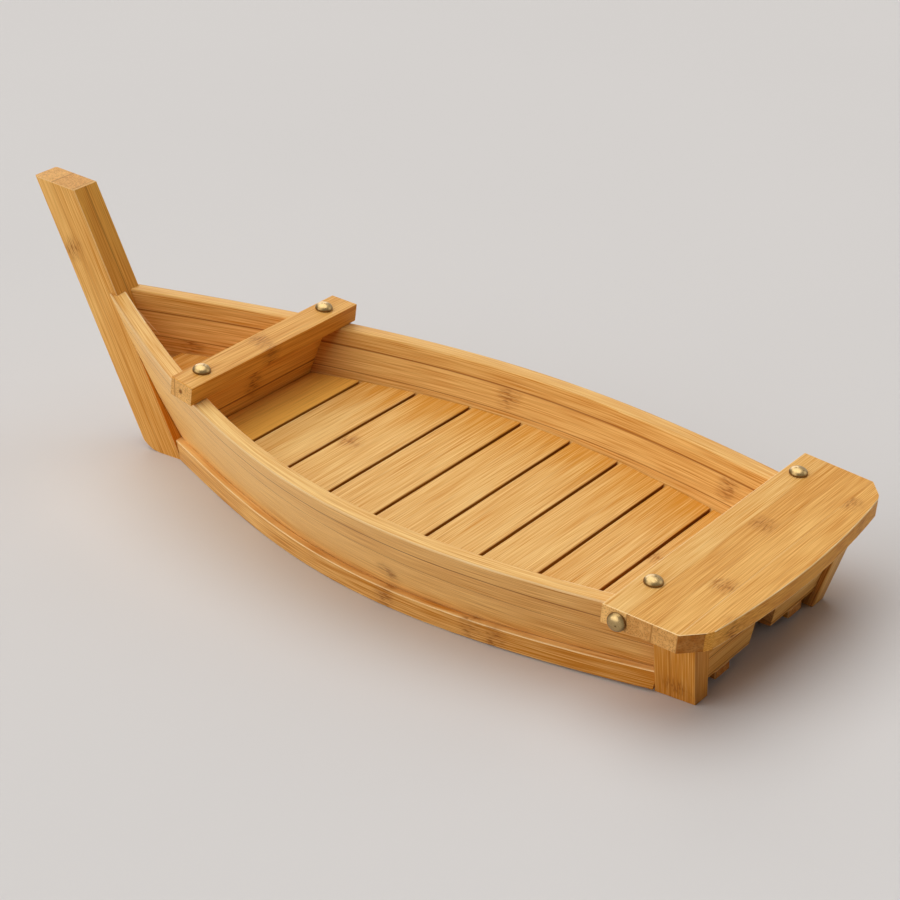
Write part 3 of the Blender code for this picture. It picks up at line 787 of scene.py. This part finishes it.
# %% Dress the thwart and the deck
low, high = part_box("thwart")
thwart_fibre = straight_fibre(ACROSS_BOAT, AHEAD, (low.x, 0.0, low.z))
thwart_marks = [(3.5, 12.2, -14.4), (6.1, 0.9, -5.9)]
dress(
    "thwart",
    thwart_fibre,
    bamboo,
    0.02,
    0.26,
    marks=thwart_marks,
    shift=2.3,
    # The thwart's after face and arrises take the deep finish: painted shade.
    edge_finish=bamboo_shade_painted,
    arris_finish=bamboo_shade_painted,
    spot=(84.8, 11.0, -7.5),
)

DECK_FRONT = (-0.2341, 0.0, 0.0739)
DECK_SLOPE = 0.1
deck_fibre = straight_fibre(ACROSS_BOAT, (-1.0, 0.0, -DECK_SLOPE), DECK_FRONT)
deck_joints = tuple((1, k * STRIP) for k in (1, 2, 3))
CLIP_BACK = 62.4 * MM
CLIP_HALF = 102.0 * MM
CLIP_TURN = math.radians(23.5)
SANDED_OFF = 1.0 * MM
DECK_GLUE = (0.35, 0.0)
DECK_SHIFT = 0.7
deck_back = Vector((-1.0, 0.0, -DECK_SLOPE)).normalized()
deck_trims = []
for hand in (1.0, -1.0):
    outer = Vector((0.0, hand, 0.0))
    direction = outer * math.sin(CLIP_TURN) + deck_back * math.cos(CLIP_TURN)
    corner = Vector(DECK_FRONT) + deck_back * CLIP_BACK + outer * CLIP_HALF
    deck_trims.append((corner - direction * SANDED_OFF, direction))
for k, (name, finish, tone, sawn_tone, marks) in enumerate(
    (
        ("front", bamboo_pale, (-0.12, 0.02), 0.40, ()),
        ("second", bamboo, (-0.08, 0.02), 0.04, [(-22.5, 24.3, 0.0)]),
        ("third", bamboo, (-0.08, 0.10), -0.08, [(54.2, 42.3, 0.0)]),
        ("after", bamboo, 0.04, -0.50, [(-82.5, 50.2, 0.0), (81.9, 64.9, -11.1)]),
    )
):
    dress(
        f"stern_deck_{name}_strip",
        deck_fibre,
        finish,
        tone,
        sawn_tone,
        glued=DECK_GLUE,
        marks=marks,
        flush=deck_joints,
        shift=DECK_SHIFT * k,
        # The deck's after face takes the deep finish: painted shade.
        edge_finish=bamboo_shade_painted,
        trims=deck_trims if name == "after" else (),
    )
print("planes that soften the deck's corners:", len(deck_trims))

# %% [markdown]
# ## Legs, transom and bulkhead
#
# The legs stand on end, so their fibre runs up the leg, along its splay and its rake, and their
# feet show end grain. Each leg is glued from a wide strip and a narrow one. Transom and bulkhead
# are boards across the boat.

# %% Dress the legs, the transom and the bulkhead
STERN_RAKE = 0.22
LEG_LEAN = 0.455
LEG_AFT_FOOT = Vector((-0.2745, 0.0776, 0.0))
LEG_GLUE = (0.9, 0.0)
LEG_MARKS = {"port_stern_leg": [(11.0, 12.5, 0.0)]}
# The port leg stands in the deck's shadow; its darker tone is painted shade.
LEG_TONES = {"port_stern_leg": -0.34, "starboard_stern_leg": 0.12}
for hand, sign in (("port", 1.0), ("starboard", -1.0)):
    node = f"{hand}_stern_leg"
    up_the_leg = (-STERN_RAKE, sign * LEG_LEAN, 1.0)
    foot = (LEG_AFT_FOOT.x, sign * LEG_AFT_FOOT.y, 0.0)
    leg_fibre = straight_fibre(up_the_leg, AHEAD, foot)
    marks = LEG_MARKS.get(node, ())
    tone = LEG_TONES[node]
    dress(
        node,
        leg_fibre,
        bamboo,
        tone,
        glued=LEG_GLUE,
        marks=marks,
        shift=0.3,
        arris_finish=bamboo,
    )
for node, rake, finish, tone, marks in (
    ("transom", -STERN_RAKE, bamboo, (0.16, -0.22), ()),
    # The bulkhead stands in shade behind the thwart; its deep finish is painted shade.
    ("bow_bulkhead", 0.0, bamboo_shade_painted, 0.18, [(11.8, 39.2, 1.3)]),
):
    low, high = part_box(node)
    board_fibre = straight_fibre(ACROSS_BOAT, (rake, 0.0, 1.0), (low.x, 0.0, low.z))
    dress(
        node,
        board_fibre,
        finish,
        tone,
        glued=GLUED_EDGES,
        marks=marks,
        rounding=0.5 * MM,
        shift=1.9,
        arris_finish=finish,
    )

# %% [markdown]
# ## Brass dome nails
#
# A dome nail is a stamped brass cap on a steel pin. Handling keeps the crown bright, and the
# little dents stay brown with patina. The rim is brown too, partly patina and partly a painted
# dark reflection. The cap is turned from a profile with a thin rim, and a small dent is pressed
# into the crown. Brass keeps the metal shader, with roughness near 0.3.

# %% Brass
TARNISH_SPOT = 1.4 * MM
SPOT_REACH = (0.50, 0.85)
SPOT_TARNISH = 0.30
BRASS_ROUGHNESS = (0.24, 0.38)


def aged_brass(name, bright, tarnish_and_rim_reflection):
    material = bpy.data.materials.new(name)
    material.use_nodes = True
    tree = material.node_tree
    shader = tree.nodes["Principled BSDF"]
    place = add(tree, "TexCoord", out="Object")
    worn = add(tree, "Attribute", out="Fac", attribute_name="tarnish_and_rim_reflection")
    settings = {"Vector": place, "Scale": 1 / TARNISH_SPOT, "Detail": 3.0}
    spots = add(tree, "TexNoise", settings | {"Roughness": NOISE_ROUGHNESS})
    faint, full = SPOT_REACH
    brown = add(tree, "MapRange", {0: spots, 1: faint, 2: full, 3: 0.0, 4: SPOT_TARNISH})
    brown = add(tree, "Math", {0: brown, 1: worn}, operation="ADD")
    colour = add(
        tree,
        "Mix",
        {"Factor": brown, 6: linear(bright), 7: linear(tarnish_and_rim_reflection)},
        out=2,
        data_type="RGBA",
    )
    tree.links.new(colour, shader.inputs["Base Color"])
    smooth, rough = BRASS_ROUGHNESS
    dull = add(tree, "MapRange", {0: spots, 1: 0.3, 2: 0.7, 3: smooth, 4: rough})
    tree.links.new(dull, shader.inputs["Roughness"])
    shader.inputs["Metallic"].default_value = 1.0
    return material


# Stamped and polished brass, long handled: a soft gleam on the crown, brown at the rim,
# there partly patina and partly a painted dark reflection.
brass = aged_brass("aged_brass", "#b39868", "#5e451f")
print("brass mixes two tones over spots of", TARNISH_SPOT / MM, "mm")

# %% Turn the nails
HEAD_RADIUS = 6.0 * MM
DOME = 4.0 * MM
RIM = 0.5 * MM
RIM_LOW = 0.15 * MM
SHANK = 1.0 * MM
NAIL_LENGTH = 10 * MM
TURN_STEPS = 48
DOME_STEPS = 14
DENT_RADIUS = 0.75 * MM
DENT_DEPTH = 0.4 * MM
BRIGHT_TO = 0.72
# Brown at the rim: partly patina, partly a painted dark reflection.
RIM_TARNISH_AND_REFLECTION = 0.7
PIT_TARNISH = 1.0


def nail_frame(node):
    """Crown and axis of a nail, read from the two points where its outline meets its axis."""
    work = bmesh.new()
    work.from_mesh(frame["nodes"][node].data)
    bmesh.ops.remove_doubles(work, verts=work.verts, dist=WELD)
    poles = sorted(work.verts, key=lambda v: -len(v.link_edges))[:2]
    ends = [v.co.copy() for v in poles]
    middle = sum((v.co for v in work.verts), Vector()) / len(work.verts)
    work.free()
    crown, tip = sorted(ends, key=lambda p: (p - middle).length)
    return crown, (crown - tip).normalized()


def turned_nail(node, dent):
    crown, axis = nail_frame(node)
    seat = crown - axis * DOME
    arc = [math.pi / 2 * k / DOME_STEPS for k in range(DOME_STEPS + 1)]
    profile = [(SHANK, -NAIL_LENGTH), (SHANK, 0.0)]
    profile += [(HEAD_RADIUS - RIM, 0.0), (HEAD_RADIUS, RIM_LOW)]
    profile += [(HEAD_RADIUS * math.cos(a), RIM + (DOME - RIM) * math.sin(a)) for a in arc[:-1]]
    work = bmesh.new()
    rings = []
    for radius, height in profile:
        ring = []
        for k in range(TURN_STEPS):
            turn = 2 * math.pi * k / TURN_STEPS
            ring.append(work.verts.new((radius * math.cos(turn), radius * math.sin(turn), height)))
        rings.append(ring)
    for lower, upper in zip(rings, rings[1:]):
        for k in range(TURN_STEPS):
            after = (k + 1) % TURN_STEPS
            work.faces.new((lower[k], lower[after], upper[after], upper[k]))
    for ring, height in ((rings[-1], DOME), (list(reversed(rings[0])), -NAIL_LENGTH)):
        cap = work.verts.new((0.0, 0.0, height))
        for k in range(TURN_STEPS):
            work.faces.new((ring[k], ring[(k + 1) % TURN_STEPS], cap))
    tarnish_and_rim_reflection = []
    for vertex in work.verts:
        rim = max(0.0, vertex.co.xy.length / HEAD_RADIUS - BRIGHT_TO) / (1.0 - BRIGHT_TO)
        away = (vertex.co.xy - Vector(dent)).length / DENT_RADIUS
        pit = 0.0
        if vertex.co.z > RIM and away < 1.0:
            pit = 1.0 - away * away
            vertex.co.z -= DENT_DEPTH * pit
        tarnish_and_rim_reflection.append(max(RIM_TARNISH_AND_REFLECTION * rim, PIT_TARNISH * pit))
    mesh = bpy.data.meshes.new(node + "_head")
    work.to_mesh(mesh)
    work.free()
    write_points(mesh, "tarnish_and_rim_reflection", "FLOAT", tarnish_and_rim_reflection)
    for polygon in mesh.polygons:
        polygon.use_smooth = True
    mesh.set_sharp_from_angle(angle=SHARP)
    mesh.materials.append(brass)
    turn = axis.to_track_quat("Z", "Y").to_matrix().to_4x4()
    mesh.transform(Matrix.Translation(seat) @ turn)
    nail = bpy.data.objects.new(node + "_head", mesh)
    bpy.context.scene.collection.objects.link(nail)
    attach(nail, "root")
    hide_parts(node)
    return crown


for hand, dent in (("port", (1.2 * MM, -0.8 * MM)), ("starboard", (-0.9 * MM, 1.3 * MM))):
    for place in ("thwart_nail", "deck_nail", "deck_end_nail"):
        crown = turned_nail(f"{hand}_{place}", dent)
        print(hand, place, "crown at mm:", [round(c / MM, 1) for c in crown])

# %% [markdown]
# ## Floor and light
#
# The boat stands on a plain pale surface. A very broad soft light from overhead gives the tops
# and the floor their full colour. A lower soft light from ahead and to port lights the port side
# and the far inside, a weaker one comes from the other bow, and the faces that look aft get only
# a little, so they stay in shade. All are distant, so the floor is lit evenly, and together they
# bring it to about the colour that is written. A faint sky fills the rest, and what the eye, the
# polish and the brass see of it is the pale backdrop.

# %% Floor
FLOOR_HALF = 6.0
FLOOR_CLOUD = 2 / 3
floor_mesh = bpy.data.meshes.new("table_top")
floor_mesh.from_pydata(
    [(x * FLOOR_HALF, y * FLOOR_HALF, 0.0) for x, y in ((-1, -1), (1, -1), (1, 1), (-1, 1))],
    [],
    [(0, 1, 2, 3)],
)
floor = bpy.data.objects.new("table_top", floor_mesh)
bpy.context.scene.collection.objects.link(floor)
# Matt paper has no gloss, so only its colour and the boat's shadow show.
paper = bpy.data.materials.new("matt_grey_paper")
paper.use_nodes = True
tree = paper.node_tree
shader = tree.nodes["Principled BSDF"]
place = add(tree, "TexCoord", out="Object")
cloud = add(tree, "TexNoise", {"Vector": place, "Scale": 1 / FLOOR_CLOUD, "Detail": 2.0})
tint = add(
    tree,
    "Mix",
    {"Factor": cloud, 6: linear("#d2cecb"), 7: linear("#d7d3d0")},
    out=2,
    data_type="RGBA",
)
tree.links.new(tint, shader.inputs["Base Color"])
shader.inputs["Roughness"].default_value = 0.9
shader.inputs["Specular IOR Level"].default_value = 0.0
floor_mesh.materials.append(paper)
print("floor, m across:", 2 * FLOOR_HALF)

# %% Sky
SKY_FILL = 0.03
world = bpy.data.worlds.new("even_sky")
bpy.context.scene.world = world
world.use_nodes = True
sky = world.node_tree
seen = 0.0
for ray in ("Is Camera Ray", "Is Glossy Ray", "Is Transmission Ray"):
    ray = add(sky, "LightPath", out=ray)
    seen = add(sky, "Math", {0: seen, 1: ray}, operation="MAXIMUM")
sky_colour = add(
    sky,
    "Mix",
    {"Factor": seen, 6: (SKY_FILL, SKY_FILL, SKY_FILL, 1.0), 7: linear("#d3cfcc")},
    out=2,
    data_type="RGBA",
)
sky.links.new(sky_colour, sky.nodes["Background"].inputs["Color"])
print("sky fill:", SKY_FILL)

# %% Lamps
LAMPS = {
    "soft_overhead": (Vector((0.25, -0.06, 0.96)), 72.0, 2.15),
    "soft_port_bow": (Vector((0.36, 0.86, 0.37)), 64.0, 1.70),
    "soft_starboard_bow": (Vector((0.66, -0.66, 0.34)), 40.0, 0.60),
    "soft_aft": (Vector((-0.66, -0.66, 0.34)), 40.0, 0.40),
}
for name, (toward, spread, strength) in LAMPS.items():
    lamp = bpy.data.lights.new(name, "SUN")
    lamp.angle = math.radians(spread)
    lamp.energy = strength
    holder = bpy.data.objects.new(name, lamp)
    holder.rotation_euler = toward.to_track_quat("Z", "Y").to_euler()
    bpy.context.scene.collection.objects.link(holder)
    print(name, "light level on the floor:", round(strength * toward.normalized().z, 2))

# %% [markdown]
# ## Camera
#
# The view is from off the port quarter, a little above, through a longish lens, so that the boat
# keeps its true proportions.

# %% Camera
lens = bpy.data.cameras.new("camera")
lens.sensor_width = 36.0
lens.lens = 99.577
camera = bpy.data.objects.new("camera", lens)
camera.location = (-0.87984, 1.15776, 0.77169)
camera.rotation_euler = (math.radians(63.769), 0.0, math.radians(-144.133))
bpy.context.scene.collection.objects.link(camera)
bpy.context.scene.camera = camera
bpy.context.scene.view_settings.view_transform = "Standard"
print("camera height, m:", camera.location.z)
